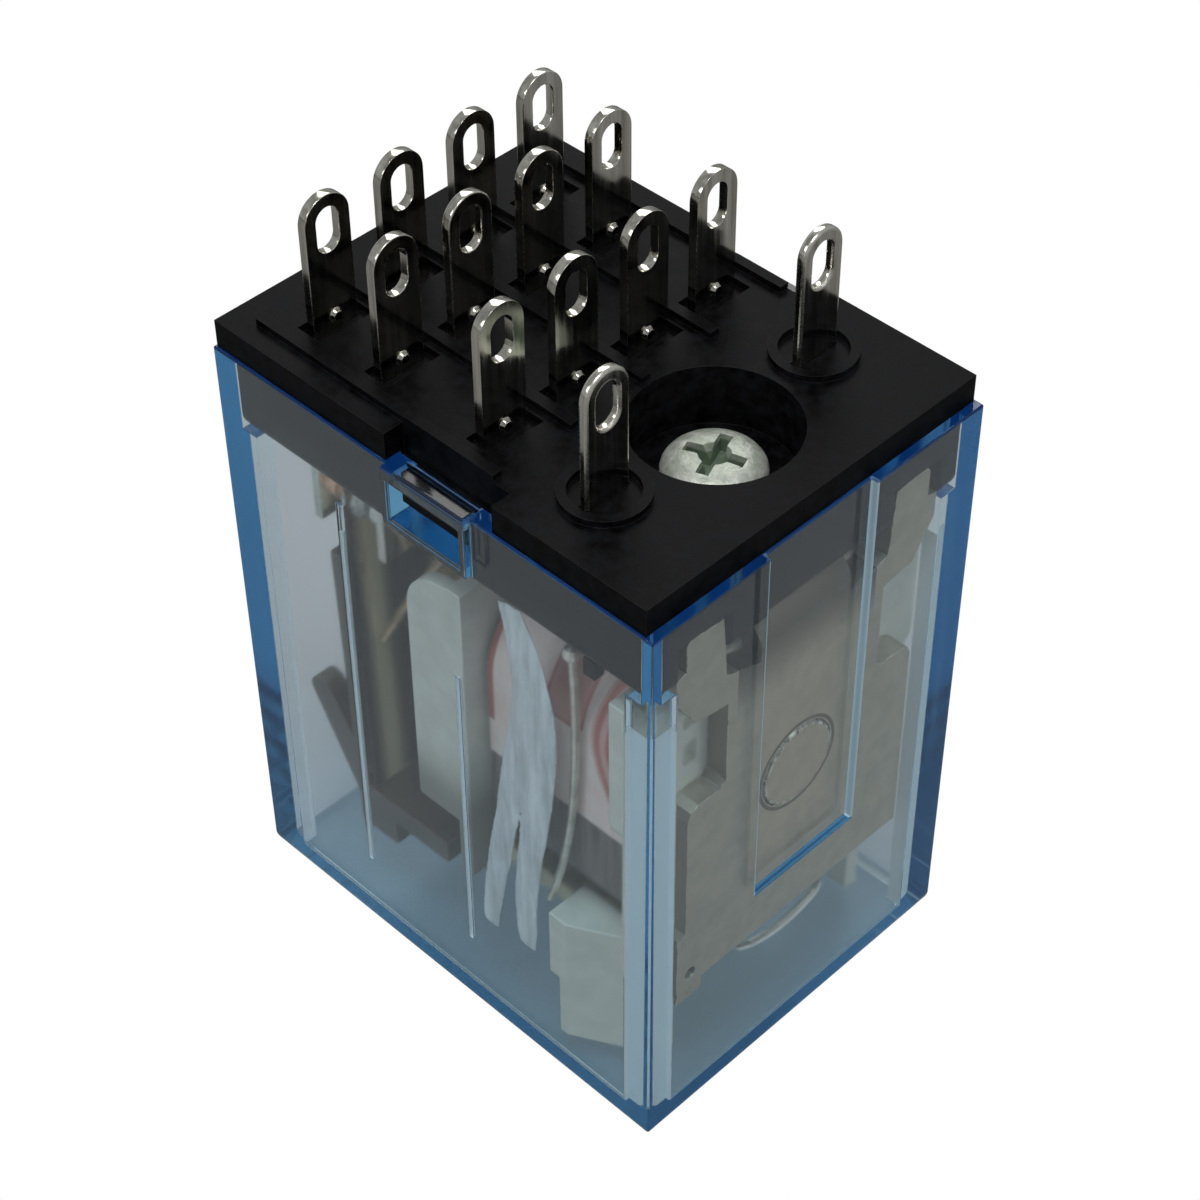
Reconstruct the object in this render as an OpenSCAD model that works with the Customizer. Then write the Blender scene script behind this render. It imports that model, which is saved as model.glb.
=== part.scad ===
/* [Cover] */
// Length of the cover, along the rows from contacts to coil
cover_l = 28; // [27.6:0.1:31]
// Width of the cover
cover_w = 21.4; // [20:0.1:24]
// Height of the cover from its closed end to its rim
cover_h = 34.4; // [33.8:0.1:38]
// Thickness of the cover's walls and closed end
cover_t = 1; // [0.8:0.05:1.05]
// Radius of the edges round the closed end
cover_edge_r = 1; // [0.5:0.1:1.8]
// Width of the posts in the cover's inner corners
post_w = 0.95; // [0.6:0.05:1.1]
// Depth of the recessed panel in the cover's coil end
panel_d = 0.35; // [0.2:0.05:0.5]
// Width of the recessed panel
panel_w = 6.9; // [5:0.1:9]
// Height of the recessed panel's lower edge above the closed end
panel_z = 12.6; // [10:0.1:20]
// Width of the latch windows
window_w = 4.55; // [3:0.05:6]
// Height of the latch windows
window_h = 2.2; // [1.5:0.05:2.4]
// Place of the latches along the cover
latch_x = 0.4; // [-2:0.05:2]
// Rise of the latch bars above the rim
latch_rise = 0.25; // [0.1:0.05:0.6]
// Height of the latch frames above the cover's outside
frame_t = 0.35; // [0.2:0.05:0.5]
// Width of the latch frames' sides
frame_w = 0.42; // [0.3:0.02:0.8]
// Width of the thin guide ribs on the cover's long walls
rib_w = 0.22; // [0.16:0.02:0.4]

/* [Base] */
// Thickness of the base plate
plate_t = 1.5; // [1.2:0.1:2.5]
// Step from the cover's outside in to the base plate's edge
plate_inset = 0.15; // [0.1:0.05:0.6]
// How far the base's plate stays inside the cover's outline at the coil end
plate_back = 0.5; // [0.2:0.05:0.7]
// Depth of the skirt that plugs into the cover
skirt_h = 4.6; // [4.4:0.1:5.2]
// Wall thickness of the skirt
skirt_t = 1.1; // [0.9:0.05:1.3]
// Radius of the screw well
well_r = 4; // [3.4:0.1:4.1]
// Depth of the screw well
well_d = 3.3; // [2.6:0.1:4]
// Height of the ridges on the base
ridge_h = 0.35; // [0.2:0.05:0.6]
// Radius of the collars round the coil blades
collar_r = 2.1; // [1.9:0.05:2.15]

/* [Terminals] */
// Height of the blades above the base
blade_h = 6.9; // [5:0.1:9]
// Width of the blades
blade_w = 2.6; // [2:0.1:2.9]
// Thickness of the blades
blade_t = 0.5; // [0.4:0.05:0.6]
// Length of the eye in each blade
eye_l = 2.4; // [1.6:0.1:3]
// Width of the eye in each blade
eye_w = 1.3; // [0.7:0.05:1.4]
// Distance from the cover's inner wall to the middle of the outer poles
pole_edge = 3.025; // [2.9:0.025:3.2]
// Row of the normally closed terminals
nc_x = -10.1; // [-10.6:0.05:-9.9]
// Row of the normally open terminals
no_x = -5.6; // [-5.8:0.05:-5.2]
// Row of the common terminals
com_x = 1; // [0:0.05:1.6]
// Row of the coil terminals and the base screw
coil_x = 7.3; // [7:0.05:7.9]

/* [Magnet] */
// Thickness of the yoke and the armature
steel_t = 1.2; // [1:0.05:1.4]
// Distance from the cover's inner wall to the side of the yoke
yoke_side = 2; // [1.8:0.1:2.8]
// Distance from the cover's inner wall to the yoke's neck
neck_side = 4.5; // [4:0.1:5]
// Distance from the cover's inner wall to the yoke's ears
ear_side = 1.75; // [1.6:0.05:2]
// Width of the yoke's bent foot under the base
foot_w = 6.2; // [5:0.1:8]
// Distance from the core's axis to the yoke's free end
yoke_reach = 9.8; // [9.5:0.1:10.6]
// Radius of the core inside the coil
core_r = 3; // [2:0.1:3.2]
// Radius of the core's riveted end
rivet_r = 2.35; // [1.5:0.05:2.6]
// Radius of the core's pole head
pole_r = 3.9; // [3.4:0.1:4.4]
// Place of the pole face
pole_x = -0.6; // [-0.8:0.05:-0.5]
// Distance from the cover's inner wall to the side of the wound coil
coil_side = 1.7; // [1.6:0.1:2.4]
// Half height of the wound coil
coil_hz = 8.6; // [8:0.1:8.8]
// Radius of the coil's rounded corners
coil_corner_r = 4.5; // [3:0.1:6]
// Thickness of the bobbin's flanges
flange_t = 0.9; // [0.6:0.05:1.1]
// Distance from the cover's inner wall to the side of the armature
armature_side = 3.4; // [3.3:0.1:4.2]
// Angle that the armature swings through
swing = 2; // [1.5:0.1:2.4]

/* [Contacts] */
// Thickness of the moving springs
spring_t = 0.2; // [0.15:0.05:0.3]
// Width of the moving springs
spring_w = 2.7; // [2:0.1:2.9]
// Radius of the contact heads
contact_r = 1; // [0.7:0.05:1.1]
// Height of the moving contact heads
contact_h = 0.55; // [0.4:0.05:0.7]
// Height of the normally open contact heads
fixed_h = 1; // [0.8:0.05:1.2]
// Diameter of the shunt leads
shunt_d = 0.5; // [0.4:0.05:0.6]
// Diameter of the coil's lead wires
lead_d = 0.42; // [0.3:0.02:0.5]
// Diameter of the hinge spring's wire
hinge_wire_d = 0.45; // [0.3:0.05:0.5]

/* [Fits] */
// Clearance between pieces that are seated on each other
fit_gap = 0.02; // [0.01:0.01:0.04]
// Clearance between the coil set and the cover
cover_gap = 0.2; // [0.15:0.01:0.25]
// Clearance round the base's skirt
skirt_gap = 0.06; // [0.03:0.01:0.1]
// Gap left between two contacts, or the armature and the pole, when they meet
touch_gap = 0.04; // [0.03:0.01:0.06]
// Running clearance round the moving set
run_gap = 0.3; // [0.25:0.01:0.35]

/* [Hidden] */
POLES = 4;
$fn = 48;
over = 1;
// Heights, from the rim down
plate_top = cover_h + plate_t;
skirt_z = cover_h - skirt_h;
foot_top = skirt_z;
foot_z = foot_top - steel_t;
coil_headroom = 1.4;
core_z = foot_z - coil_headroom - coil_hz;
yoke_z = core_z - yoke_reach;
well_floor = plate_top - well_d;
bar_h = 0.7;
window_top = cover_h - bar_h;
bend_r = 0.5;
// Places along the length
inner_l = cover_l - 2 * cover_t;
inner_w = cover_w - 2 * cover_t;
pole_pitch = (inner_w - 2 * pole_edge) / (POLES - 1);
yoke_w = inner_w - 2 * yoke_side;
neck_w = inner_w - 2 * neck_side;
ear_w = inner_w - 2 * ear_side;
coil_hy = inner_w / 2 - coil_side;
armature_w = inner_w - 2 * armature_side;
yoke_out = inner_l / 2 - cover_gap;
yoke_in = yoke_out - steel_t;
flange_out = yoke_in - fit_gap;
wind_x1 = flange_out - flange_t;
pole_head_t = 1;
flange_face = pole_x + pole_head_t + fit_gap;
wind_x0 = flange_face + flange_t;
screw_x = coil_x + 0.2;
// Armature, drawn pulled in against the pole and then swung out about the yoke's end
arm_face = pole_x - touch_gap;
arm_back = arm_face - steel_t;
arm_top = yoke_z - touch_gap;
arm_reach = 5.6;
no_face = no_x - blade_t / 2 - fixed_h;
spring_face = no_face - touch_gap - contact_h;
spring_back = spring_face - spring_t;
contact_z = foot_z - 1.6;
sweep_z = (yoke_in - spring_back) * sin(swing) / 2;
moving_z = contact_z + sweep_z;
back_dx = spring_back - contact_h - yoke_in;
back_dz = moving_z - yoke_z;
nc_face = yoke_in + back_dx * cos(swing) - back_dz * sin(swing) - touch_gap;
shank_r = contact_r / 2;
// Width across the bobbin, and its wings beside the armature
bobbin_hy = inner_w / 2 - 0.35;
wing_t = 0.75;
wing_l = 2.8;
wing_r = 2.6;
flange_z0 = yoke_z + run_gap;
ear_in = foot_w / 2 + 2.25;
ear_barb = 0.6;
flange_z1 = foot_z - bend_r;
barrel_r = core_r + 0.9;
// Tail lengths and the leads inside
leaf_z = contact_z - 2.1;
com_z = skirt_z - 0.2;
tail_z = foot_z - 1;
block_h = 3;
block_z = yoke_z - 3.2;
block_w = 2 * (bobbin_hy - wing_t - run_gap);
spring_tail_z = block_z + 0.4;
rivet_inset = 1.5;
rivet_pitch = armature_w - 2 * rivet_inset;
rivet_z = core_z - 6.1;
rivet_shank_r = 0.6;
block_wall = 1.3;
lead_y = coil_hy + 0.55;

function pole_y(i) = (i - (POLES + 1) / 2) * pole_pitch;
function coil_y(i) = (i == 1 ? -1 : 1) * 1.5 * pole_pitch;

// Cubic curve through space, as a list of points
function curve(a, b, c, d, n) = [for (k = [0:n]) let (t = k / n, s = 1 - t)
    s * s * s * a + 3 * s * s * t * b + 3 * s * t * t * c + t * t * t * d];
function unit(v) = v / norm(v);

// Tube of sides facets along the points p, with half widths given for each point
module tube(p, half_a, half_b, across, sides = 8) {
    n = len(p);
    rings = [for (i = [0:n - 1]) let (
        t = unit(p[min(i + 1, n - 1)] - p[max(i - 1, 0)]),
        u = unit(cross(t, across)),
        v = cross(u, t))
        for (k = [0:sides - 1])
            p[i] + half_a[i] * cos(k * 360 / sides) * u + half_b[i] * sin(k * 360 / sides) * v];
    walls = [for (i = [0:n - 2]) for (k = [0:sides - 1]) let (
        m = (k + 1) % sides,
        a = i * sides + k,
        b = i * sides + m)
        each [[a, b, b + sides], [a, b + sides, a + sides]]];
    first_end = [for (k = [sides - 1:-1:0]) k];
    last_end = [for (k = [0:sides - 1]) (n - 1) * sides + k];
    polyhedron(rings, concat(walls, [first_end, last_end]));
}

module wire(p, d, across) {
    r = [for (q = p) d / 2];
    tube(p, r, r, across);
}

// Block from one corner to the other
module block(a, b) {
    translate(a) cube(b - a);
}

// Plate lying across the length, from a profile in width and height
module cross_plate(x0, t) {
    translate([x0, 0, 0]) rotate([90, 0, 90]) linear_extrude(t) children();
}

module mirror_copy(v) {
    children();
    mirror(v) children();
}

// Shape with the two lower corners rounded, standing on height z0
module tray_profile(w, z0, z1, r) {
    translate([-w / 2, z0 + r]) square([w, z1 - z0 - r]);
    translate([-w / 2 + r, z0]) square([w - 2 * r, z1 - z0]);
    for (s = [-1, 1]) translate([s * (w / 2 - r), z0 + r]) circle(r);
}

module tray(l, w, z0, z1, r) {
    intersection() {
        translate([0, w / 2, 0]) rotate([90, 0, 0]) linear_extrude(w) tray_profile(l, z0, z1, r);
        translate([-l / 2, 0, 0]) rotate([90, 0, 90]) linear_extrude(l) tray_profile(w, z0, z1, r);
    }
}

module to_corner(sx, sy) {
    mirror([sx < 0 ? 1 : 0, 0, 0]) mirror([0, sy < 0 ? 1 : 0, 0]) children();
}

module cover() color([0.45, 0.65, 0.8, 0.4]) {
    bar_step = 0.9;
    bar_depth = 0.4;
    sill_z = window_top - window_h - frame_w;
    frame_x0 = latch_x - window_w / 2 - frame_w;
    frame_x1 = latch_x + window_w / 2 + frame_w;
    post_top = skirt_z - fit_gap;
    rib_z0 = 4.6;
    back_rib = [latch_x - 6.7, skirt_z - 0.6];
    front_rib = [latch_x + 0.85, skirt_z - 6.6];
    difference() {
        union() {
            tray(cover_l, cover_w, 0, cover_h, cover_edge_r);
            mirror_copy([0, 1, 0]) {
                block([frame_x0, inner_w / 2 + cover_t / 2, sill_z],
                    [frame_x1, cover_w / 2 + frame_t, cover_h]);
                block([frame_x0 + bar_step, cover_w / 2 - bar_depth, cover_h - bar_h / 2],
                    [frame_x1, cover_w / 2 + frame_t, cover_h + latch_rise]);
            }
        }
        tray(inner_l, inner_w, cover_t, cover_h + over, cover_edge_r / 2);
        mirror_copy([0, 1, 0])
            block([latch_x - window_w / 2, inner_w / 2 - over, window_top - window_h],
                [latch_x + window_w / 2, cover_w / 2 + over, window_top]);
        block([cover_l / 2 - panel_d, -panel_w / 2, panel_z],
            [cover_l / 2 + over, panel_w / 2, cover_h + over]);
    }
    for (sx = [-1, 1]) for (sy = [-1, 1]) to_corner(sx, sy)
        block([inner_l / 2 - post_w, inner_w / 2 - post_w, cover_t / 2],
            [inner_l / 2 + cover_t / 2, inner_w / 2 + cover_t / 2, post_top]);
    mirror_copy([0, 1, 0]) for (r = [back_rib, front_rib])
        block([r[0] - rib_w / 2, inner_w / 2 - rib_w, rib_z0], [r[0] + rib_w / 2, inner_w / 2 + rib_w, r[1]]);
}

// Slot that a blade passes through
module blade_slot(x, y, z0) {
    block([x - blade_t / 2 - fit_gap, y - blade_w / 2 - fit_gap, z0],
        [x + blade_t / 2 + fit_gap, y + blade_w / 2 + fit_gap, plate_top + over]);
}

module base() color([0.09, 0.09, 0.1]) {
    plate_w = cover_w - 2 * plate_inset;
    skirt_l = inner_l - 2 * skirt_gap;
    skirt_w = inner_w - 2 * skirt_gap;
    notch_x0 = latch_x - window_w / 2 - 0.5;
    notch_x1 = latch_x + window_w / 2 + 1.7;
    notch_d = 0.3;
    catch_h = 1.6;
    catch_lead = 0.4;
    catch_d = 0.75;
    catch_z = window_top - 0.1;
    catch_in = 0.3;
    boss_r = well_r + 0.9;
    hole_r = 1.45;
    ear_slack = 0.12;
    ear_room = ear_w / 2 + ear_barb + ear_slack;
    skirt_r = 0.9;
    crater_d = 0.4;
    crater_back = blade_t / 2 + 0.35;
    crater_front = blade_t / 2 + 0.75;
    crater_side = blade_w / 2 + 0.3;
    collar_t = 0.45;
    divider_t = 0.7;
    hook_t = 0.6;
    ear_slot_h = 2.55;
    bite = 0.1;
    hook_x = coil_x + 1.9;
    hook_w = 0.7;
    hook_h = 0.9;
    ridge_w = 0.55;
    ridge_x0 = nc_x - 2.1;
    ridge_x1 = com_x + 2.3;
    ridge_y = plate_w / 2 - 1.4;
    difference() {
        union() {
            block([plate_inset - cover_l / 2, -plate_w / 2, cover_h],
                [cover_l / 2 - plate_back, plate_w / 2, plate_top]);
            difference() {
                tray(skirt_l, skirt_w, skirt_z, cover_h + bite, skirt_r);
                block([-skirt_l / 2 + skirt_t, -skirt_w / 2 + skirt_t, skirt_z - over],
                    [skirt_l / 2 - skirt_t, skirt_w / 2 - skirt_t, cover_h]);
            }
            translate([screw_x, 0, skirt_z]) cylinder(r = boss_r, h = skirt_h + bite);
            for (k = [1:POLES - 1])
                block([-skirt_l / 2 + bite, pole_y(k) + (pole_pitch - divider_t) / 2, skirt_z + 1],
                    [com_x + 1, pole_y(k) + (pole_pitch + divider_t) / 2, cover_h + bite]);
            mirror_copy([0, 1, 0]) {
                cross_plate(latch_x - window_w / 2 + catch_in, window_w - 2 * catch_in)
                    polygon([[skirt_w / 2 - bite, catch_z - catch_h], [skirt_w / 2, catch_z - catch_h],
                        [skirt_w / 2 + catch_d, catch_z - catch_h + catch_lead],
                        [skirt_w / 2 + catch_d, catch_z], [skirt_w / 2 - bite, catch_z]]);
                block([ridge_x0, ridge_y - ridge_w / 2, plate_top - bite],
                    [ridge_x1, ridge_y + ridge_w / 2, plate_top + ridge_h]);
                block([hook_x, (skirt_w - skirt_t - hook_t) / 2, skirt_z - hook_h],
                    [hook_x + hook_w, (skirt_w - skirt_t + hook_t) / 2, skirt_z + bite]);
            }
            for (k = [1:POLES - 1])
                block([ridge_x0, pole_y(k) + (pole_pitch - ridge_w) / 2, plate_top - bite],
                    [ridge_x1, pole_y(k) + (pole_pitch + ridge_w) / 2, plate_top + ridge_h]);
            for (i = [1:2])
                translate([coil_x, coil_y(i), plate_top - bite]) cylinder(r = collar_r, h = bite + ridge_h);
        }
        mirror_copy([0, 1, 0])
            block([notch_x0, inner_w / 2 - notch_d, cover_h - notch_d],
                [notch_x1, plate_w / 2 + over, plate_top + over]);
        translate([screw_x, 0, well_floor]) cylinder(r = well_r, h = well_d + over);
        translate([screw_x, 0, skirt_z - over]) cylinder(r = hole_r, h = skirt_h + over);
        for (i = [1:POLES]) {
            for (x = [nc_x, no_x, com_x]) {
                blade_slot(x, pole_y(i), cover_h - over);
                block([x - crater_back, pole_y(i) - crater_side, plate_top - crater_d],
                    [x + crater_front, pole_y(i) + crater_side, plate_top + over]);
            }
        }
        for (i = [1:2]) {
            blade_slot(coil_x, coil_y(i), skirt_z - over);
            translate([coil_x, coil_y(i), plate_top]) cylinder(r = collar_r - collar_t, h = ridge_h + over);
        }
        mirror_copy([0, 1, 0])
            block([yoke_in - ear_slack, ear_in - ear_slack, skirt_z - over],
                [cover_l, ear_room, foot_top + ear_slot_h]);
    }
}

module base_screw() color([0.75, 0.77, 0.72]) {
    head_r = 2.45;
    head_h = 1.6;
    rim_h = 0.7;
    crown = 1.5;
    recess = 1.1;
    slot_l = 2.9;
    slot_w = 0.62;
    seat = well_floor + fit_gap;
    shank_r = 1.25;
    translate([screw_x, 0, seat]) difference() {
        rotate_extrude() polygon(concat([[0, 0], [head_r, 0]],
            [for (a = [0:15:90]) [head_r - crown + crown * cos(a), rim_h + (head_h - rim_h) * sin(a)]],
            [[0, head_h]]));
        rotate(20) {
            for (a = [0, 90]) translate([0, 0, head_h]) rotate(a)
                cube([slot_l, slot_w, 2 * recess], center = true);
            translate([0, 0, head_h - recess]) cylinder(r1 = slot_w / 2, r2 = slot_w * 1.3, h = recess + 0.1);
        }
    }
    translate([screw_x, 0, foot_z - 0.5]) cylinder(r = shank_r, h = seat + 0.6 - foot_z);
}

// Flat blade with a rounded end and an eye, thin along the length
module blade(x, y, z0) {
    r = blade_w / 2;
    top = plate_top + blade_h;
    translate([x - blade_t / 2, y, 0]) rotate([90, 0, 90]) linear_extrude(blade_t) difference() {
        union() {
            translate([-r, z0]) square([blade_w, top - r - z0]);
            translate([0, top - r]) circle(r);
        }
        translate([-eye_w / 2, top - r - eye_l + eye_w]) square([eye_w, eye_l - eye_w]);
        for (z = [top - r, top - r - eye_l + eye_w]) translate([0, z]) circle(eye_w / 2);
    }
}

// Small bead pressed out of a contact blade, just above the base
module bead(x, y) {
    translate([x + blade_t / 2 - 0.1, y, plate_top + 0.35]) rotate([0, 90, 0])
        cylinder(r1 = 0.4, r2 = 0.25, h = 0.32);
}

// Contact blade whose inner end carries a riveted contact
module leaf_blade(x, y) color([0.78, 0.78, 0.76]) difference() {
    union() {
        blade(x, y, leaf_z);
        bead(x, y);
    }
    translate([x, y, contact_z]) rotate([0, 90, 0]) cylinder(r = shank_r + fit_gap, h = 2, center = true);
}

module nc_terminal(i) leaf_blade(nc_x, pole_y(i));

module no_terminal(i) leaf_blade(no_x, pole_y(i));

module common_terminal(i) color([0.78, 0.78, 0.76]) {
    blade(com_x, pole_y(i), com_z);
    bead(com_x, pole_y(i));
}

module coil_terminal(i) color([0.8, 0.79, 0.74]) {
    blade(coil_x, coil_y(i), tail_z);
}

// Domed contact head along the length, from x0 towards x1
module head(x0, x1, y, z) {
    s = x1 > x0 ? 1 : -1;
    h = abs(x1 - x0);
    dome = 0.22;
    translate([x0, y, z]) rotate([0, s * 90, 0]) {
        cylinder(r = contact_r, h = h - dome);
        translate([0, 0, h - dome]) cylinder(r1 = contact_r, r2 = contact_r * 0.6, h = dome);
    }
}

// Fixed contact: a head on one side of the leaf and its clinched tail on the other
module fixed_contact(x, face, y) {
    s = face > x ? 1 : -1;
    near = x + s * (blade_t / 2 + fit_gap);
    far = x - s * (blade_t / 2 + fit_gap);
    head(near, face, y, contact_z);
    translate([near, y, contact_z]) rotate([0, -s * 90, 0]) cylinder(r = shank_r, h = abs(near - far) + 0.1);
    translate([far, y, contact_z]) rotate([0, -s * 90, 0]) cylinder(r = contact_r * 0.75, h = 0.3);
}

module nc_contact(i) color([0.8, 0.5, 0.35]) fixed_contact(nc_x, nc_face, pole_y(i));

module no_contact(i) color([0.85, 0.85, 0.83]) fixed_contact(no_x, no_face, pole_y(i));

module yoke() color([0.55, 0.54, 0.5]) {
    notch_z = foot_top - 2.2;
    notch_rise = 0.8;
    ear_top = foot_top + 2.4;
    ear_z = foot_z - 2.1;
    barb_z0 = foot_top - 1;
    barb_z1 = foot_top + 0.4;
    shoulder_z = core_z + 2.7;
    corner = 0.7;
    bend_z = foot_z - bend_r;
    foot_end = screw_x - 3;
    tab_out = 0.55;
    tab_drop = 0.8;
    tab_w = 1.75;
    tab_h = 4.8;
    tab_hole_r = 0.35;
    difference() {
        union() {
            cross_plate(yoke_in, steel_t) {
                mirror_copy([1, 0]) polygon([[0, yoke_z], [yoke_w / 2, yoke_z],
                    [yoke_w / 2, shoulder_z - corner], [yoke_w / 2 - corner / 3, shoulder_z - corner / 3],
                    [yoke_w / 2 - corner, shoulder_z],
                    [neck_w / 2 + corner / 2, shoulder_z], [neck_w / 2, shoulder_z + corner / 2],
                    [neck_w / 2, ear_z], [ear_w / 2 - corner, ear_z + 0.3], [ear_w / 2 + ear_barb, barb_z0],
                    [ear_w / 2 + ear_barb, barb_z1], [ear_w / 2, barb_z1 + 0.2], [ear_w / 2, ear_top - 0.3],
                    [ear_w / 2 - 0.3, ear_top], [ear_in + 0.3, ear_top - 0.2], [ear_in, notch_z + notch_rise],
                    [foot_w / 2, notch_z], [foot_w / 2, bend_z], [0, bend_z]]);
                translate([-yoke_w / 2 - tab_out, yoke_z - tab_drop]) square([tab_w, tab_h]);
            }
            translate([yoke_in - bend_r, 0, bend_z]) rotate([90, 0, 0]) intersection() {
                difference() {
                    cylinder(r = bend_r + steel_t, h = foot_w, center = true);
                    cylinder(r = bend_r, h = 2 * foot_w, center = true);
                }
                translate([0, 0, -foot_w]) cube([2 * steel_t, 2 * steel_t, 2 * foot_w]);
            }
            block([foot_end, -foot_w / 2, foot_z], [yoke_in - bend_r, foot_w / 2, foot_top]);
        }
        translate([yoke_in - over, 0, core_z]) rotate([0, 90, 0])
            cylinder(r = rivet_r + fit_gap, h = steel_t + 2 * over);
        translate([screw_x, 0, foot_z - over]) cylinder(r = 1.27, h = steel_t + 2 * over);
        translate([yoke_in - over, -yoke_w / 2 + 0.4, yoke_z + 0.9]) rotate([0, 90, 0])
            cylinder(r = tab_hole_r, h = steel_t + 2 * over);
    }
}

module core() color([0.6, 0.6, 0.58]) {
    shoulder = yoke_in - fit_gap;
    rivet_end = yoke_out + cover_gap / 2;
    translate([pole_x, 0, core_z]) rotate([0, 90, 0]) {
        cylinder(r = pole_r, h = pole_head_t);
        cylinder(r = core_r, h = shoulder - pole_x);
        cylinder(r = rivet_r, h = rivet_end - pole_x);
    }
}

// Rounded outline of the coil across its axis, grown by g
module coil_outline(g) {
    hy = coil_hy + g;
    hz = coil_hz + g;
    r = coil_corner_r + g;
    translate([-hy, core_z - hz + r]) square([2 * hy, 2 * (hz - r)]);
    translate([-hy + r, core_z - hz]) square([2 * (hy - r), 2 * hz]);
    for (sy = [-1, 1]) for (sz = [-1, 1]) translate([sy * (hy - r), core_z + sz * (hz - r)]) circle(r);
}

module bobbin() color([0.88, 0.87, 0.82]) {
    wing_z1 = flange_z1 - 0.1;
    wing_z0 = flange_z0 + 3.4;
    foot_l = 5;
    foot_in = armature_w / 2 + run_gap + 0.3;
    foot_flat = 0.5;
    foot_cut = 1.6;
    foot_z0 = cover_t + 1.2;
    foot_z1 = yoke_z + 1.9;
    step_z = yoke_z - 2.5;
    step_l = 0.65;
    foot_x0 = flange_out - foot_l;
    foot_x1 = flange_out - 0.9;
    cheek_z = core_z + 0.6;
    pocket_d = 0.5;
    pocket_w = 0.9;
    pocket_h = 1.4;
    pocket_y = neck_w / 2 + 1.1;
    cheek_r = 1.2;
    waist_hy = bobbin_hy - 0.85;
    difference() {
        union() {
            block([flange_face, -bobbin_hy, flange_z0], [flange_face + flange_t, bobbin_hy, flange_z1]);
            cross_plate(wind_x1, flange_t) mirror_copy([1, 0]) {
                translate([0, flange_z0]) square([waist_hy, flange_z1 - flange_z0]);
                translate([0, cheek_z + cheek_r]) square([bobbin_hy, flange_z1 - cheek_z - cheek_r]);
                translate([0, cheek_z]) square([bobbin_hy - cheek_r, 2 * cheek_r]);
                translate([bobbin_hy - cheek_r, cheek_z + cheek_r]) circle(cheek_r);
            }
            translate([flange_face + 0.1, 0, core_z]) rotate([0, 90, 0])
                cylinder(r = barrel_r, h = flange_out - flange_face - 0.2);
            mirror_copy([0, 1, 0]) {
                translate([flange_face - wing_l, bobbin_hy, 0]) rotate([90, 0, 0]) linear_extrude(wing_t)
                intersection() {
                    translate([0, wing_z0]) square([wing_l + 0.1, wing_z1 - wing_z0]);
                    union() {
                        translate([0, wing_z0]) square([wing_l + 0.1, wing_z1 - wing_r - wing_z0]);
                        translate([wing_r, wing_z1 - wing_r]) circle(wing_r);
                        translate([wing_r, wing_z0]) square([wing_l, wing_z1 - wing_z0]);
                    }
                }
                for (leg = [[foot_x0, step_z, foot_z1], [foot_x0 + step_l, foot_z0, step_z + 0.1]])
                    translate([0, 0, leg[1]]) linear_extrude(leg[2] - leg[1])
                        polygon([[leg[0], foot_in], [foot_x1, foot_in], [foot_x1, bobbin_hy - foot_cut],
                            [foot_x0 + step_l + foot_flat, bobbin_hy], [leg[0], bobbin_hy]]);
            }
        }
        translate([flange_face - over, 0, core_z]) rotate([0, 90, 0])
            cylinder(r = core_r + fit_gap, h = flange_out - flange_face + 2 * over);
        for (sy = [-1, 1]) for (z = [core_z + 4, core_z + 6.4])
            block([flange_out - pocket_d, sy * pocket_y - pocket_w / 2, z],
                [flange_out + over, sy * pocket_y + pocket_w / 2, z + pocket_h]);
    }
}

module coil_winding() color([0.5, 0.45, 0.4]) difference() {
    cross_plate(wind_x0 + fit_gap, wind_x1 - wind_x0 - 2 * fit_gap) coil_outline(0);
    translate([wind_x0 - over, 0, core_z]) rotate([0, 90, 0])
        cylinder(r = barrel_r + fit_gap, h = wind_x1 - wind_x0 + 2 * over);
}

module coil_tape() color([0.85, 0.78, 0.76]) {
    tape_t = 0.12;
    inset = 0.3;
    skirt = 1;
    tape_l = wind_x1 - wind_x0 - 2 * inset;
    intersection() {
        difference() {
            cross_plate(wind_x0 + inset, tape_l) coil_outline(fit_gap + tape_t);
            cross_plate(wind_x0 - over, tape_l + 3 * over) coil_outline(fit_gap);
        }
        block([wind_x0, -cover_w, core_z - skirt], [wind_x1, cover_w, cover_h]);
    }
}

// Bare wire from a solder joint beside a coil terminal's tail down past the winding
module coil_lead(i) color([0.8, 0.76, 0.68]) {
    s = i == 1 ? -1 : 1;
    blob_r = 0.45;
    bow = 0.7;
    drift = 1.4;
    rise = 0.7;
    drop = 8;
    joint_z = tail_z + rise;
    end_z = core_z - drop;
    joint = [coil_x + blade_t / 2, s * (coil_y(2) + blade_w / 2 + fit_gap + blob_r), joint_z];
    upper = [coil_x + bow, s * lead_y, core_z + coil_hz * 0.6];
    lower = [coil_x + bow, s * lead_y, core_z - coil_hz / 4];
    wire(curve(joint, upper, lower, [coil_x - drift, s * lead_y, end_z], 14), lead_d, [1, 0, 0]);
    translate(joint) sphere(blob_r, $fn = 12);
}

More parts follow.
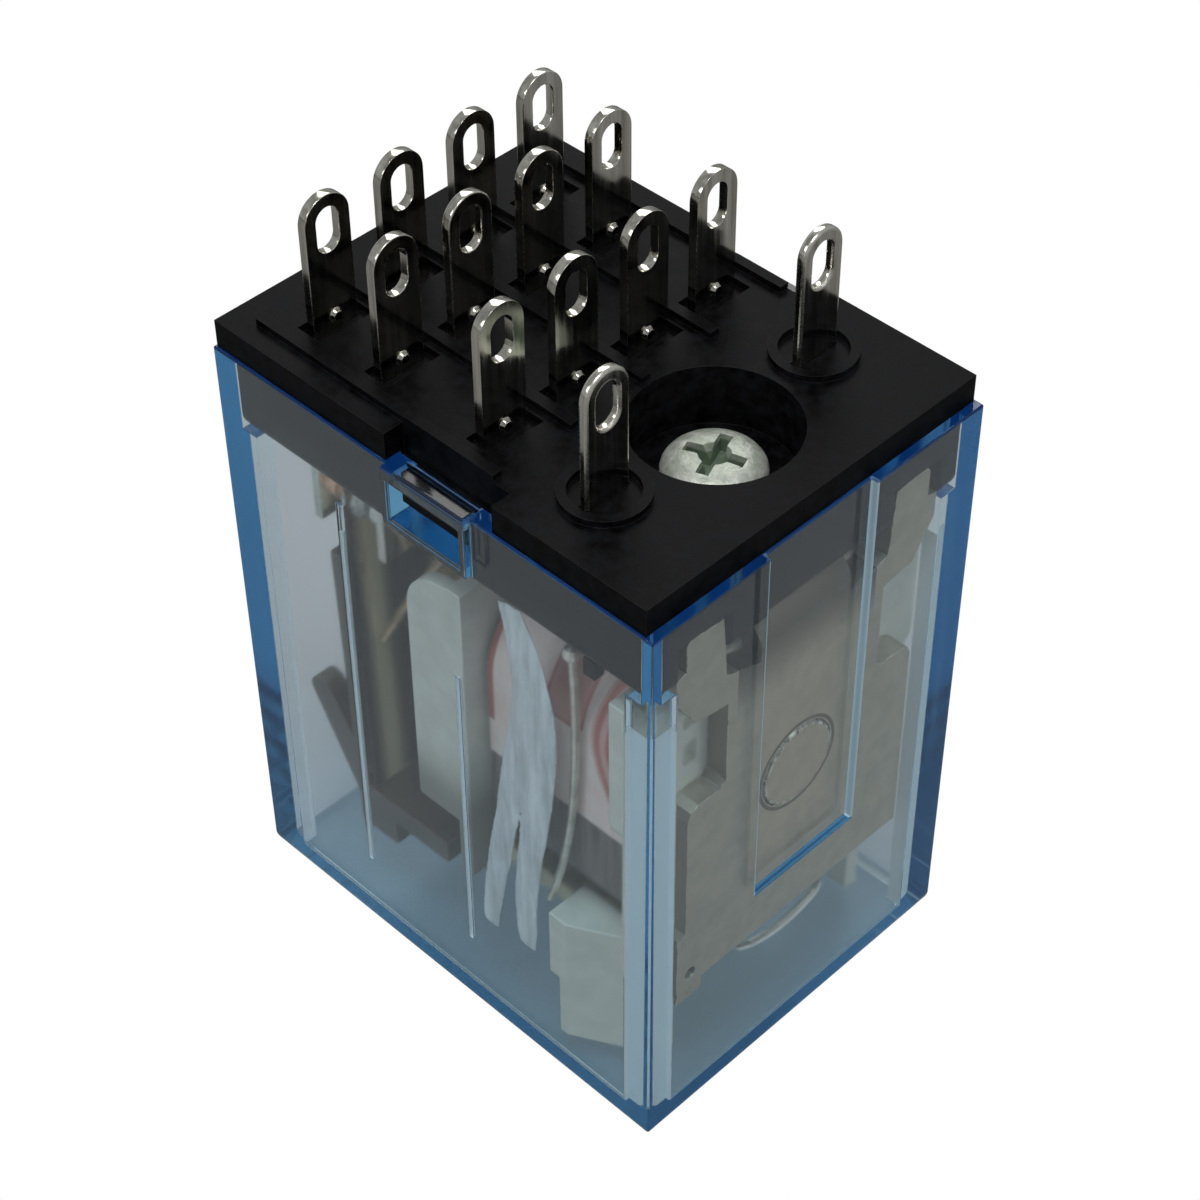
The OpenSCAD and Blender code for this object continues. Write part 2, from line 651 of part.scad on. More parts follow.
// Milky sleeve beside the winding, pinched at the base end and flattened below
module lead_sleeve() color([0.9, 0.9, 0.92, 0.7]) {
    half_thick = 0.22;
    narrow = 0.45;
    spread = 1.5;
    slack = 0.05;
    start_x = 4.2;
    sway = 1.4;
    tip_gap = 1.6;
    taper = 4;
    taper_from = 0.8;
    y = -inner_w / 2 + rib_w + half_thick + slack;
    top = [pole_x + start_x, y, com_z - narrow];
    upper = [pole_x + start_x + sway / 2, y, core_z + coil_hz * 0.6];
    lower = [pole_x + start_x + sway, y, core_z - coil_hz * 0.4];
    tip = [pole_x + start_x - sway / 2, y, cover_t + tip_gap];
    steps = 16;
    p = curve(top, upper, lower, tip, steps);
    wide = [for (k = [0:steps]) let (t = k / steps)
        narrow + spread * sin(min(90, 150 * t)) - taper * max(0, t - taper_from)];
    thin = [for (k = [0:steps]) half_thick];
    tube(p, wide, thin, [0, 1, 0], 12);
}

// Bowed wire under the yoke's end, its two arms turned in beneath the armature
module hinge_spring() color([0.75, 0.75, 0.72]) {
    bow_x = yoke_out - steel_t / 2;
    arm_y = foot_w / 2;
    turn = 0.7;
    sag = 0.5;
    arm_l = 3.4;
    under = yoke_z - steel_t - touch_gap - hinge_wire_d / 2 - run_gap;
    steps = 12;
    bow = [for (k = [0:steps]) let (u = 2 * k / steps - 1)
        [bow_x, u * (arm_y - turn), under - sag * (1 - u * u)]];
    arm = [[bow_x - turn - arm_l, arm_y, under], [bow_x - turn, arm_y, under],
        [bow_x - turn * 0.3, arm_y - turn * 0.3, under]];
    wire(concat([for (q = arm) [q[0], -q[1], q[2]]], bow, [for (k = [2:-1:0]) arm[k]]),
        hinge_wire_d, [0, 0, 1]);
}

// Flexible shunt from a common terminal's tail over to its moving spring
module shunt_lead(i) color([0.72, 0.45, 0.3]) {
    y = pole_y(i);
    side = i > POLES / 2 ? -1 : 1;
    target_x = spring_face - 0.42;
    joint_z = core_z - 1;
    p = curve([com_x - (blade_t + shunt_d) / 2, y, com_z + 0.3], [flange_face - 2, y, com_z - 2],
        [no_x + 1, y + side * pole_pitch / 2, contact_z - 2], [target_x + 0.35, y, joint_z], 16);
    wire(p, shunt_d, [0, 1, 0]);
}

// Everything on the armature is drawn pulled in, then swung out to its rest
module swung_out() {
    translate([yoke_in, 0, yoke_z]) rotate([0, -swing, 0]) translate([-yoke_in, 0, -yoke_z]) children();
}

module armature() color([0.58, 0.57, 0.54]) swung_out() {
    arm_end = yoke_in - 0.15;
    difference() {
        union() {
            block([arm_back + bend_r + steel_t, -armature_w / 2, arm_top - steel_t],
                [arm_end, armature_w / 2, arm_top]);
            block([arm_back, -armature_w / 2, arm_top + bend_r], [arm_face, armature_w / 2, core_z + arm_reach]);
            translate([arm_face + bend_r, 0, arm_top + bend_r]) rotate([90, 0, 0]) intersection() {
                difference() {
                    cylinder(r = bend_r + steel_t, h = armature_w, center = true);
                    cylinder(r = bend_r, h = 2 * armature_w, center = true);
                }
                translate([-2 * steel_t, -2 * steel_t, -armature_w])
                    cube([2 * steel_t, 2 * steel_t, 2 * armature_w]);
            }
        }
        for (sy = [-1, 1]) translate([arm_back - over, sy * rivet_pitch / 2, rivet_z]) rotate([0, 90, 0])
            cylinder(r = rivet_shank_r + fit_gap, h = steel_t + 2 * over);
    }
}

module spring_block() color([0.2, 0.16, 0.13]) swung_out() {
    back = arm_back - fit_gap;
    root = spring_back - 0.45;
    lip = 2.2;
    step = 1.6;
    arm_w = 1.1;
    arm_r = 0.8;
    hollow = 1.1;
    pocket_hy = 1.5;
    web_t = 0.8;
    web_back = root - 0.45;
    web_top = moving_z - 3;
    profile = [[root, block_z], [root + lip, block_z], [root + lip, block_z + step], [back, block_z + step],
        [back, block_z + block_h], [root, block_z + block_h]];
    arm_root = [root + 0.4, block_z + block_h + 0.6];
    arm_tip = [root - 2.6, block_z + block_h + 5];
    difference() {
        union() {
            translate([0, block_w / 2, 0]) rotate([90, 0, 0]) linear_extrude(block_w) polygon(profile);
            block([back - block_wall, -armature_w / 2, block_z + step], [back, armature_w / 2, core_z]);
            block([web_back, -block_w / 2, block_z], [web_back + web_t, block_w / 2, web_top]);
            mirror_copy([0, 1, 0]) translate([0, block_w / 2, 0]) rotate([90, 0, 0]) linear_extrude(arm_w) {
                translate(arm_tip) circle(arm_r);
                polygon([[root - 0.3, block_z + block_h - 1.2], [root + 0.4, block_z + block_h + 1.4],
                    arm_tip + [arm_r * 0.8, arm_r * 0.6], arm_tip - [arm_r * 0.8, arm_r * 0.6]]);
                translate([root, block_z + block_h - 1.4]) square([0.4, 2.4]);
            }
        }
        for (i = [1:POLES])
            block([spring_back - fit_gap, pole_y(i) - spring_w / 2 - fit_gap, spring_tail_z],
                [spring_face + fit_gap, pole_y(i) + spring_w / 2 + fit_gap, block_z + block_h + 2 * over]);
        for (k = [1:POLES - 1]) let (y = (k - POLES / 2) * pole_pitch)
            block([spring_face + hollow, y - pocket_hy, block_z + step + 0.6],
                [back - block_wall - hollow / 2, y + pocket_hy, block_z + block_h + over]);
        for (sy = [-1, 1]) translate([back - block_wall - over, sy * rivet_pitch / 2, rivet_z])
            rotate([0, 90, 0]) cylinder(r = rivet_shank_r + fit_gap, h = block_wall + 2 * over);
    }
}

module block_rivets() color([0.7, 0.6, 0.4]) swung_out() {
    head_r = 1.1;
    head_t = 0.4;
    clinch_r = 1;
    clinch_t = 0.3;
    seat = arm_back - 2 * fit_gap - block_wall;
    for (sy = [-1, 1]) translate([0, sy * rivet_pitch / 2, rivet_z]) rotate([0, 90, 0]) {
        translate([0, 0, seat - head_t]) cylinder(r = head_r, h = head_t);
        translate([0, 0, seat - head_t / 2]) cylinder(r = rivet_shank_r, h = arm_face + clinch_t - seat);
        translate([0, 0, arm_face + fit_gap]) cylinder(r = clinch_r, h = clinch_t);
    }
}

module moving_spring(i) color([0.66, 0.6, 0.5]) swung_out() difference() {
    cross_plate(spring_back, spring_t) translate([pole_y(i) - spring_w / 2, 0]) {
        translate([0, spring_tail_z + fit_gap]) square([spring_w, moving_z - spring_tail_z]);
        translate([spring_w / 2 - contact_r - 0.1, moving_z - 1]) square([2 * contact_r + 0.2, 2.05]);
    }
    translate([spring_back - over, pole_y(i), moving_z]) rotate([0, 90, 0])
        cylinder(r = shank_r + fit_gap, h = spring_t + 2 * over);
}

module moving_contact(i) color([0.85, 0.84, 0.8]) swung_out() {
    head(spring_face + fit_gap, spring_face + contact_h, pole_y(i), moving_z);
    head(spring_back - fit_gap, spring_back - contact_h, pole_y(i), moving_z);
    translate([spring_back - fit_gap - 0.1, pole_y(i), moving_z]) rotate([0, 90, 0])
        cylinder(r = shank_r, h = spring_t + 2 * fit_gap + 0.2);
}

cover();
base();
base_screw();
yoke();
core();
bobbin();
coil_winding();
coil_tape();
lead_sleeve();
hinge_spring();
armature();
spring_block();
block_rivets();
for (i = [1:2]) {
    coil_terminal(i);
    coil_lead(i);
}
for (i = [1:POLES]) {
    nc_terminal(i);
    no_terminal(i);
    common_terminal(i);
    nc_contact(i);
    no_contact(i);
    moving_spring(i);
    moving_contact(i);
    shunt_lead(i);
}
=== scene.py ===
import math

import bpy
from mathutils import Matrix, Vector


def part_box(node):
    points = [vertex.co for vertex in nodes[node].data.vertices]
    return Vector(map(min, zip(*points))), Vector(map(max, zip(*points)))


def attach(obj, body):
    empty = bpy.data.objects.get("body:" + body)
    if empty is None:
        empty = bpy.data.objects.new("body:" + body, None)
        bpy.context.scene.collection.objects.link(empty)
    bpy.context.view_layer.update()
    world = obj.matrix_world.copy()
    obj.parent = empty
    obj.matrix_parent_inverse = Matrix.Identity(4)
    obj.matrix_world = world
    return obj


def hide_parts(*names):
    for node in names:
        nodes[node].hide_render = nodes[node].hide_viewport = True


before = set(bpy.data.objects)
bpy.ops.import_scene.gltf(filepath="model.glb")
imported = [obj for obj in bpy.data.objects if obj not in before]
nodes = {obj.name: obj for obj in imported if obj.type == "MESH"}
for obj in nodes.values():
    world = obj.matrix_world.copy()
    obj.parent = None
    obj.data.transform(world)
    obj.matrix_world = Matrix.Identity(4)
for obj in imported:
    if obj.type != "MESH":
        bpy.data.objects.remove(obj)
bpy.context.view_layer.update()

# Camera. It looks down on the coil end and the long lit wall, as the photograph does,
# with the corner between them nearest.
CAMERA_PLACE = (0.069749, -0.069434, 0.114550)
CAMERA_TURN = (46.2289, 0.3611, 44.6641)
CAMERA_LENS = 83.81
CAMERA_FILM = 36
CAMERA_NEAR = 0.01
CAMERA_FAR = 5

bpy.ops.object.camera_add(location=CAMERA_PLACE, rotation=[math.radians(turn) for turn in CAMERA_TURN])
camera = bpy.context.object
camera.name = "camera"
camera.data.sensor_width = CAMERA_FILM
camera.data.lens = CAMERA_LENS
camera.data.clip_start = CAMERA_NEAR
camera.data.clip_end = CAMERA_FAR
bpy.context.scene.camera = camera
bpy.context.scene.view_settings.view_transform = "Standard"

# Studio. A plain pale floor, a soft grey room and four square lamps. The camera sees floor
# and room as white, and light that has turned inside the clear cover's walls brings back
# some of that white. Through the cover, the floor below it is painted darker and bluish as a
# painted shadow, with a painted faint blue glow.
FLOOR_SIZE = 4
FLOOR_DROP = 0.00006
FLOOR_ROUGH = 0.9
FLOOR_SHINE = 0.1
FLOOR_PAINT = (0.26, 0.26, 0.26, 1)
FLOOR_THROUGH_COVER = (0.60, 0.59, 0.60, 1)
# Painted shadow and painted blue glow for the floor seen through the cover.
FLOOR_PAINTED_SHADOW = (0.085, 0.12, 0.145, 1)
FLOOR_PAINTED_BLUE_GLOW = (0.60, 0.84, 1.0, 1)
PAINTED_GLOW_SHARE = 0.13
PAINTED_SHADOW_X = (-0.0145, 0.0145)
PAINTED_SHADOW_Y = (-0.0115, 0.0115)
FLOOR_WHITE_PER_TURN = 0.05
FLOOR_WHITE_MOST = 0.32
ROOM_WHITE_PER_TURN = 0.04
ROOM_WHITE_MOST = 0.24
ROOM_GREY = (0.30, 0.31, 0.32, 1)
WHITE = (1, 1, 1, 1)
LAMP_AIM = (0, 0, 0.02)
# Each lamp's name, place, side, power and colour.
LAMPS = (
    ("top_lamp", (0.10, -0.14, 0.60), 0.16, 1.15, (1.0, 1.0, 0.98)),
    ("front_lamp", (-0.20, -0.55, 0.35), 0.20, 0.44, (0.96, 0.98, 1.0)),
    ("coil_end_lamp", (0.55, 0.20, 0.28), 0.20, 0.35, (1.0, 0.98, 0.95)),
    ("back_lamp", (-0.30, 0.30, 0.42), 0.30, 0.80, (1.0, 1.0, 0.97)),
)


def give(socket, feed):
    """Feed a socket with another socket or with a plain value."""
    if isinstance(feed, bpy.types.NodeSocket):
        socket.id_data.links.new(feed, socket)
    else:
        socket.default_value = feed


def figure(operation, *feeds):
    """One step of arithmetic on sockets and numbers, in the node tree of its first socket."""
    tree = next(feed.id_data for feed in feeds if isinstance(feed, bpy.types.NodeSocket))
    step = tree.nodes.new("ShaderNodeMath")
    step.operation = operation
    for socket, feed in zip(step.inputs, feeds):
        give(socket, feed)
    return step.outputs["Value"]


def between(value, low, high):
    """A mask that is on where a value lies between two limits."""
    return figure("MULTIPLY", figure("GREATER_THAN", value, low), figure("LESS_THAN", value, high))


def axes(tree, kind="Object"):
    """The X, Y and Z of each point's place, or of the way that the surface faces there."""
    point = tree.nodes.new("ShaderNodeTexCoord")
    split = tree.nodes.new("ShaderNodeSeparateXYZ")
    give(split.inputs["Vector"], point.outputs[kind])
    return split.outputs["X"], split.outputs["Y"], split.outputs["Z"]


def blend(share, under, over):
    """A mix of two colours. The node's colour sockets are 6 and 7, and its colour result is 2."""
    mix = share.id_data.nodes.new("ShaderNodeMix")
    mix.data_type = "RGBA"
    give(mix.inputs[0], share)
    give(mix.inputs[6], under)
    give(mix.inputs[7], over)
    return mix.outputs[2]


def join_shaders(share, plain, other):
    """A mix of two shaders."""
    mix = share.id_data.nodes.new("ShaderNodeMixShader")
    give(mix.inputs["Fac"], share)
    give(mix.inputs[1], plain)
    give(mix.inputs[2], other)
    return mix.outputs["Shader"]


def seen_white(rays, per_turn, most, glow=0):
    """All white to the camera, and partly white to light that has turned inside clear walls."""
    turned = figure("MINIMUM", figure("MULTIPLY", rays["Glossy Depth"], per_turn), most)
    through = figure("ADD", turned, glow)
    return figure("MULTIPLY_ADD", through, rays["Is Transmission Ray"], rays["Is Camera Ray"])


bpy.ops.mesh.primitive_plane_add(size=FLOOR_SIZE, location=(0, 0, -FLOOR_DROP))
floor = bpy.context.object
floor.name = "floor"
floor_look = bpy.data.materials.new("pale_floor")
floor_look.use_nodes = True
tree = floor_look.node_tree
rays = tree.nodes.new("ShaderNodeLightPath").outputs
floor_x, floor_y, _ = axes(tree)
# Painted shadow and glow: where the cover stands, the floor is painted darker, bluish and faintly glowing.
painted_shadow_zone = figure("MULTIPLY", between(floor_x, *PAINTED_SHADOW_X), between(floor_y, *PAINTED_SHADOW_Y))
painted_floor_glow = figure("MULTIPLY", painted_shadow_zone, PAINTED_GLOW_SHARE)
floor_through = blend(painted_shadow_zone, FLOOR_THROUGH_COVER, FLOOR_PAINTED_SHADOW)
floor_paint = tree.nodes["Principled BSDF"]
give(floor_paint.inputs["Roughness"], FLOOR_ROUGH)
give(floor_paint.inputs["Specular IOR Level"], FLOOR_SHINE)
give(floor_paint.inputs["Base Color"], blend(rays["Is Transmission Ray"], FLOOR_PAINT, floor_through))
floor_white = tree.nodes.new("ShaderNodeEmission")
give(floor_white.inputs["Color"], blend(rays["Is Camera Ray"], FLOOR_PAINTED_BLUE_GLOW, WHITE))
floor_shows_white = seen_white(rays, FLOOR_WHITE_PER_TURN, FLOOR_WHITE_MOST, painted_floor_glow)
give(tree.nodes["Material Output"].inputs["Surface"],
     join_shaders(floor_shows_white, floor_paint.outputs["BSDF"], floor_white.outputs["Emission"]))
floor.data.materials.append(floor_look)

world = bpy.data.worlds.new("studio_room")
world.use_nodes = True
bpy.context.scene.world = world
tree = world.node_tree
rays = tree.nodes.new("ShaderNodeLightPath").outputs
room = tree.nodes["Background"]
give(room.inputs["Color"], ROOM_GREY)
backdrop = tree.nodes.new("ShaderNodeBackground")
give(backdrop.inputs["Color"], WHITE)
room_shows_white = seen_white(rays, ROOM_WHITE_PER_TURN, ROOM_WHITE_MOST)
give(tree.nodes["World Output"].inputs["Surface"],
     join_shaders(room_shows_white, room.outputs["Background"], backdrop.outputs["Background"]))

for name, place, side, power, colour in LAMPS:
    bpy.ops.object.light_add(type="AREA", location=place)
    lamp = bpy.context.object
    lamp.name = name
    lamp.data.shape = "SQUARE"
    lamp.data.size = side
    lamp.data.energy = power
    lamp.data.color = colour
    lamp.visible_transmission = False
    aim = Vector(LAMP_AIM) - Vector(place)
    lamp.rotation_euler = aim.to_track_quat("-Z", "Y").to_euler()

# Cover. One clear blue moulding, nearly colourless seen face on and deep blue along its
# edges, where light runs inside the 1 mm walls. The ribs and posts inside it came matt and
# milky from the mould. The edges of the coil end's panel are matt and milky with a painted
# pale blue highlight, and the rim is painted a darker blue as painted shade.
COVER_IOR = 1.49
COVER_ROUGH = 0.08
COVER_BLUE = (0.31, 0.69, 0.855, 1)
COVER_DENSITY = 155
COVER_SHADOW = (0.885, 0.92, 0.94, 1)
RIBS_X = (-0.0115, 0.01297)
RIBS_OFF_Y = (0.00865, 0.00967)
RIBS_Z = (0.00105, 0.0275)
PANEL_EDGE_OFF_Y = (0.00335, 0.00355)
PANEL_FROM_X = 0.01355
PANEL_FROM_Z = 0.0126
# Painted highlight: pale blue on the panel's side edges.
PANEL_EDGE_HIGHLIGHT = (0.64, 0.86, 0.98, 1)
MATT_ROUGH = 0.5
MATT_MILKY = 0.9
# Painted shade: the rim is painted a darker blue.
RIM_FROM_Z = 0.03428
RIM_PAINTED_SHADE = (0.10, 0.20, 0.46, 1)
WALL_TURNS = 32
WELD_REACH = 0.000001
FLAT_WITHIN = 0.5

paths = bpy.context.scene.cycles
paths.max_bounces = WALL_TURNS
paths.glossy_bounces = WALL_TURNS
paths.transmission_bounces = WALL_TURNS

cover_look = bpy.data.materials.new("clear_blue_plastic")
cover_look.use_nodes = True
tree = cover_look.node_tree
cover_x, cover_y, cover_z = axes(tree)
off_y = figure("ABSOLUTE", cover_y)
on_ribs = figure("MULTIPLY", between(cover_x, *RIBS_X), between(off_y, *RIBS_OFF_Y))
on_ribs = figure("MULTIPLY", on_ribs, between(cover_z, *RIBS_Z))
on_panel = figure("MULTIPLY", figure("GREATER_THAN", cover_x, PANEL_FROM_X),
                  figure("GREATER_THAN", cover_z, PANEL_FROM_Z))
on_panel = figure("MULTIPLY", on_panel, between(off_y, *PANEL_EDGE_OFF_Y))
# Painted shade on the rim and a painted highlight on the panel's edges, through the base colour.
on_shaded_rim = figure("GREATER_THAN", cover_z, RIM_FROM_Z)
matt = figure("MAXIMUM", on_ribs, on_panel)
cover_shader = tree.nodes["Principled BSDF"]
give(cover_shader.inputs["IOR"], COVER_IOR)
# The linked sockets keep the clear wall's own values too.
for socket, clear_value, feed in (
    ("Base Color", WHITE, blend(on_shaded_rim, blend(on_panel, WHITE, PANEL_EDGE_HIGHLIGHT), RIM_PAINTED_SHADE)),
    ("Roughness", COVER_ROUGH, figure("MULTIPLY_ADD", matt, MATT_ROUGH, COVER_ROUGH)),
    ("Transmission Weight", 1, figure("MULTIPLY_ADD", matt, -MATT_MILKY, 1)),
):
    give(cover_shader.inputs[socket], clear_value)
    give(cover_shader.inputs[socket], feed)
cover_depth = tree.nodes.new("ShaderNodeVolumeAbsorption")
give(cover_depth.inputs["Color"], COVER_BLUE)
give(cover_depth.inputs["Density"], COVER_DENSITY)
give(tree.nodes["Material Output"].inputs["Volume"], cover_depth.outputs["Volume"])
cover_thin = tree.nodes.new("ShaderNodeBsdfTransparent")
give(cover_thin.inputs["Color"], COVER_SHADOW)
in_shadow = tree.nodes.new("ShaderNodeLightPath").outputs["Is Shadow Ray"]
give(tree.nodes["Material Output"].inputs["Surface"],
     join_shaders(in_shadow, cover_shader.outputs["BSDF"], cover_thin.outputs["BSDF"]))


def dress(kind, looks, edge=0.0, sharp=40, rings=2):
    """Give every node of one kind its finish, and round its sharp edges in the last one named."""
    for name, piece in nodes.items():
        if kind not in (name, name.rsplit("_", 1)[0]):
            continue
        piece.data.materials.clear()
        for look in looks:
            piece.data.materials.append(look)
        if edge:
            weld = piece.modifiers.new("weld", "WELD")
            weld.merge_threshold = WELD_REACH
            flatten = piece.modifiers.new("flatten", "DECIMATE")
            flatten.decimate_type = "DISSOLVE"
            flatten.angle_limit = math.radians(FLAT_WITHIN)
            soften = piece.modifiers.new("rounded_edges", "BEVEL")
            soften.width = edge
            soften.segments = rings
            soften.limit_method = "ANGLE"
            soften.angle_limit = math.radians(sharp)
            soften.material = len(looks) - 1


dress("cover", [cover_look], edge=0.00009, sharp=50, rings=3)

# Base. Black moulded plastic with a satin skin and faint flow marks; its edges are a
# little rounded by the mould and painted paler, a painted highlight along them.
BASE_BLACK = (0.0012, 0.0012, 0.0014, 1)
BASE_FLOW = (0.0085, 0.009, 0.0105, 1)
BASE_EDGE_HIGHLIGHT = (0.045, 0.045, 0.048, 1)
GRAIN_DETAIL = 6
GRAIN_ROUGH = 0.62
GRAIN_DARK_AT = 0.36
GRAIN_PALE_AT = 0.64
GRAIN_POLISH_AT = (0.3, 0.7)
GRAIN_DEPTH = 0.6


def fade(value, start, end, first, last, kind="LINEAR"):
    """A number that goes from first to last while a value goes from start to end."""
    ramp = value.id_data.nodes.new("ShaderNodeMapRange")
    ramp.interpolation_type = kind
    give(ramp.inputs["Value"], value)
    give(ramp.inputs["From Min"], start)
    give(ramp.inputs["From Max"], end)
    give(ramp.inputs["To Min"], first)
    give(ramp.inputs["To Max"], last)
    return ramp.outputs["Result"]


def grained(name, dark, pale, rough, grain, relief, stretch=(1, 1, 1), metal=0, shine=0.5):
    """One finish whose tone, polish and relief all follow the same grain."""
    look = bpy.data.materials.new(name)
    look.use_nodes = True
    tree = look.node_tree
    lay = tree.nodes.new("ShaderNodeMapping")
    give(lay.inputs["Vector"], tree.nodes.new("ShaderNodeTexCoord").outputs["Object"])
    give(lay.inputs["Scale"], stretch)
    noise = tree.nodes.new("ShaderNodeTexNoise")
    noise.name = "grain"
    give(noise.inputs["Vector"], lay.outputs["Vector"])
    give(noise.inputs["Scale"], 1 / grain)
    give(noise.inputs["Detail"], GRAIN_DETAIL)
    give(noise.inputs["Roughness"], GRAIN_ROUGH)
    tone = tree.nodes.new("ShaderNodeValToRGB")
    tone.name = "tone"
    tone.color_ramp.elements[0].position = GRAIN_DARK_AT
    tone.color_ramp.elements[0].color = dark
    tone.color_ramp.elements[1].position = GRAIN_PALE_AT
    tone.color_ramp.elements[1].color = pale
    give(tone.inputs["Fac"], noise.outputs["Fac"])
    bump = tree.nodes.new("ShaderNodeBump")
    bump.name = "relief"
    give(bump.inputs["Strength"], GRAIN_DEPTH)
    give(bump.inputs["Distance"], relief)
    give(bump.inputs["Height"], noise.outputs["Fac"])
    shader = tree.nodes["Principled BSDF"]
    give(shader.inputs["Metallic"], metal)
    give(shader.inputs["Specular IOR Level"], shine)
    give(shader.inputs["Base Color"], tone.outputs["Color"])
    give(shader.inputs["Roughness"], fade(noise.outputs["Fac"], *GRAIN_POLISH_AT, *rough))
    give(shader.inputs["Normal"], bump.outputs["Normal"])
    return look


base_skin = grained("black_moulding", BASE_BLACK, BASE_FLOW, rough=(0.34, 0.52), grain=0.0007,
                    relief=0.00004, shine=0.05)
# Painted highlight: the rounded edges are painted paler than the skin.
base_edges = grained("black_moulding_edges", BASE_FLOW, BASE_EDGE_HIGHLIGHT, rough=(0.26, 0.45), grain=0.0004,
                     relief=0.00002, shine=0.6)
dress("base", [base_skin, base_edges], edge=0.00011, sharp=50)

# Base screw. A zinc-plated pan head, turned and then punched with a cross recess. The
# plating is mottled, and greener in the recess and towards it, where it is also painted
# darker as painted shade.
SCREW_ZINC = (0.97, 0.98, 0.92, 1)
SCREW_SHADE = (0.62, 0.67, 0.57, 1)
RECESS_GREEN_AND_SHADE = (0.26, 0.33, 0.25, 1)
RECESS_REACH = 0.0018
RECESS_DROP = 0.00028
RECESS_LIP = 0.00012
CENTRE_REACH = 0.0023
CENTRE_SHADE_SHARE = 0.85


def reach(across, along):
    """How far two measures at right angles reach together."""
    return figure("SQRT", figure("ADD", figure("MULTIPLY", across, across), figure("MULTIPLY", along, along)))


def repaint(look, share, colour):
    """Lay a second colour over a grained finish, by a share."""
    tone = look.node_tree.nodes["tone"].outputs["Color"]
    give(look.node_tree.nodes["Principled BSDF"].inputs["Base Color"], blend(share, tone, colour))


screw_look = grained("zinc_plate", SCREW_SHADE, SCREW_ZINC, rough=(0.24, 0.48), grain=0.0006,
                     relief=0.00014, metal=0.4)
screw_low, screw_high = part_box("base_screw")
screw_x, screw_y, screw_z = axes(screw_look.node_tree)
from_axis = reach(figure("SUBTRACT", screw_x, (screw_low[0] + screw_high[0]) / 2),
                  figure("SUBTRACT", screw_y, (screw_low[1] + screw_high[1]) / 2))
recess_top = screw_high[2] - RECESS_DROP
# Painted shade: the recess and the head towards it are painted darker and greener.
recess_shade = figure("MULTIPLY", fade(screw_z, recess_top - RECESS_LIP, recess_top, 1, 0),
                   figure("LESS_THAN", from_axis, RECESS_REACH))
centre_shade = fade(from_axis, 0, CENTRE_REACH, CENTRE_SHADE_SHARE, 0)
repaint(screw_look, figure("MAXIMUM", recess_shade, centre_shade), RECESS_GREEN_AND_SHADE)
dress("base_screw", [screw_look], edge=0.00008, sharp=30)

# Contact and coil blades. Strip of nickel-plated copper alloy, polished on its faces with
# fine rolling lines along its length, and burnished at its rounded, punched edges.
BLADE_FACE = (0.84, 0.81, 0.72, 1)
BLADE_DULL = (0.46, 0.44, 0.38, 1)
BLADE_EDGE = (0.88, 0.86, 0.78, 1)

blade_face = grained("polished_nickel", BLADE_DULL, BLADE_FACE, rough=(0.06, 0.17), grain=0.0004,
                     relief=0.000005, stretch=(1, 1, 0.06), metal=1)
blade_edge = grained("burnished_nickel_edge", BLADE_FACE, BLADE_EDGE, rough=(0.20, 0.34), grain=0.0003,
                     relief=0.00001, metal=1)
for kind in ("nc_terminal", "no_terminal", "common_terminal", "coil_terminal"):
    dress(kind, [blade_face, blade_edge], edge=0.00015, rings=3)

# Yoke, core and armature. Thick magnetic steel with a matt warm grey plating, yellower on the
# armature. The yoke's sheared edges are rough, with painted bright glints and painted dark
# spots in their grain. Its faces that face sideways, its neck where it was bent under the base,
# and the groove round the core's riveted head are painted darker as painted shade.
YOKE_GREY = (0.48, 0.425, 0.335, 1)
YOKE_PALE = (0.61, 0.54, 0.43, 1)
# Painted glints and painted dark spots in the grain of the sheared edges.
SHEARED_PAINTED_DARK = (0.14, 0.13, 0.10, 1)
SHEARED_GLINT = (1.0, 0.96, 0.84, 1)
# Painted shade on the yoke's sideways faces, its neck under the base and the groove round the core.
PAINTED_YOKE_SHADE = (0.09, 0.085, 0.07, 1)
NECK_Y = (-0.0046, 0.0046)
NECK_SHADE_Z = (0.0245, 0.0285)
NECK_SHADE_SHARE = 0.85
CORE_Z = 0.0186
GROOVE_FROM_CORE = (0.00245, 0.00265)
GROOVE_SHADE_SHARE = 0.8
SIDE_FACING = 0.6
SIDE_SHADE_SHARE = 0.6
ARMATURE_GREY = (0.46, 0.41, 0.28, 1)
ARMATURE_PALE = (0.74, 0.65, 0.42, 1)

yoke_face = grained("plated_yoke_steel", YOKE_GREY, YOKE_PALE, rough=(0.46, 0.62), grain=0.0011,
                    relief=0.000012, metal=1)
yoke_edge = grained("sheared_steel_edge", SHEARED_PAINTED_DARK, SHEARED_GLINT, rough=(0.18, 0.42), grain=0.0005,
                    relief=0.00010, metal=0.9)
armature_face = grained("passivated_steel", ARMATURE_GREY, ARMATURE_PALE, rough=(0.35, 0.52), grain=0.0008,
                        relief=0.00002, metal=1)
